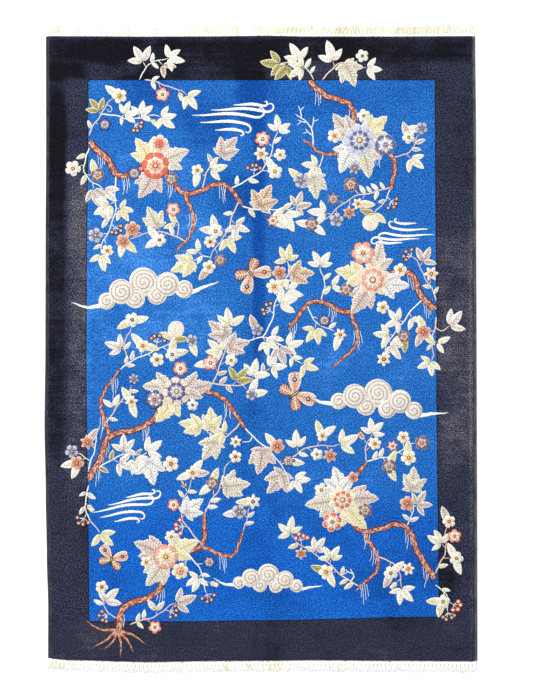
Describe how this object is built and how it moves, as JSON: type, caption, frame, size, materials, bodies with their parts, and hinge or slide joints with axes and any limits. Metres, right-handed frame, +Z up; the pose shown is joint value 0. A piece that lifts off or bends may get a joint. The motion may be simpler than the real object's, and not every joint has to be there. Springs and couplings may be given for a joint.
{
  "type": "chinese floral pile rug",
  "caption": "Hand-knotted wool rug lying flat: cobalt field with blossom sprays, charcoal border, overcast sides and a short cream warp fringe at both ends.",
  "frame": {"origin": "on the floor, under the middle of the whole rug's outline, fringes included", "axes": "+X across the width to the right side, +Y along the length to the top end, +Z up from the floor"},
  "size_m": [1.2272, 1.8466, 0.0119],
  "materials": {
    "pile": "cut wool pile",
    "side_cord": "overcast wool yarn",
    "fringe": "undyed cotton warp, matt"
  },
  "bodies": {
    "root": {"rug_body": "pile", "side_cord_left": "side_cord", "side_cord_right": "side_cord", "fringe_top": "fringe", "fringe_bottom": "fringe"}
  },
  "joints": []
}
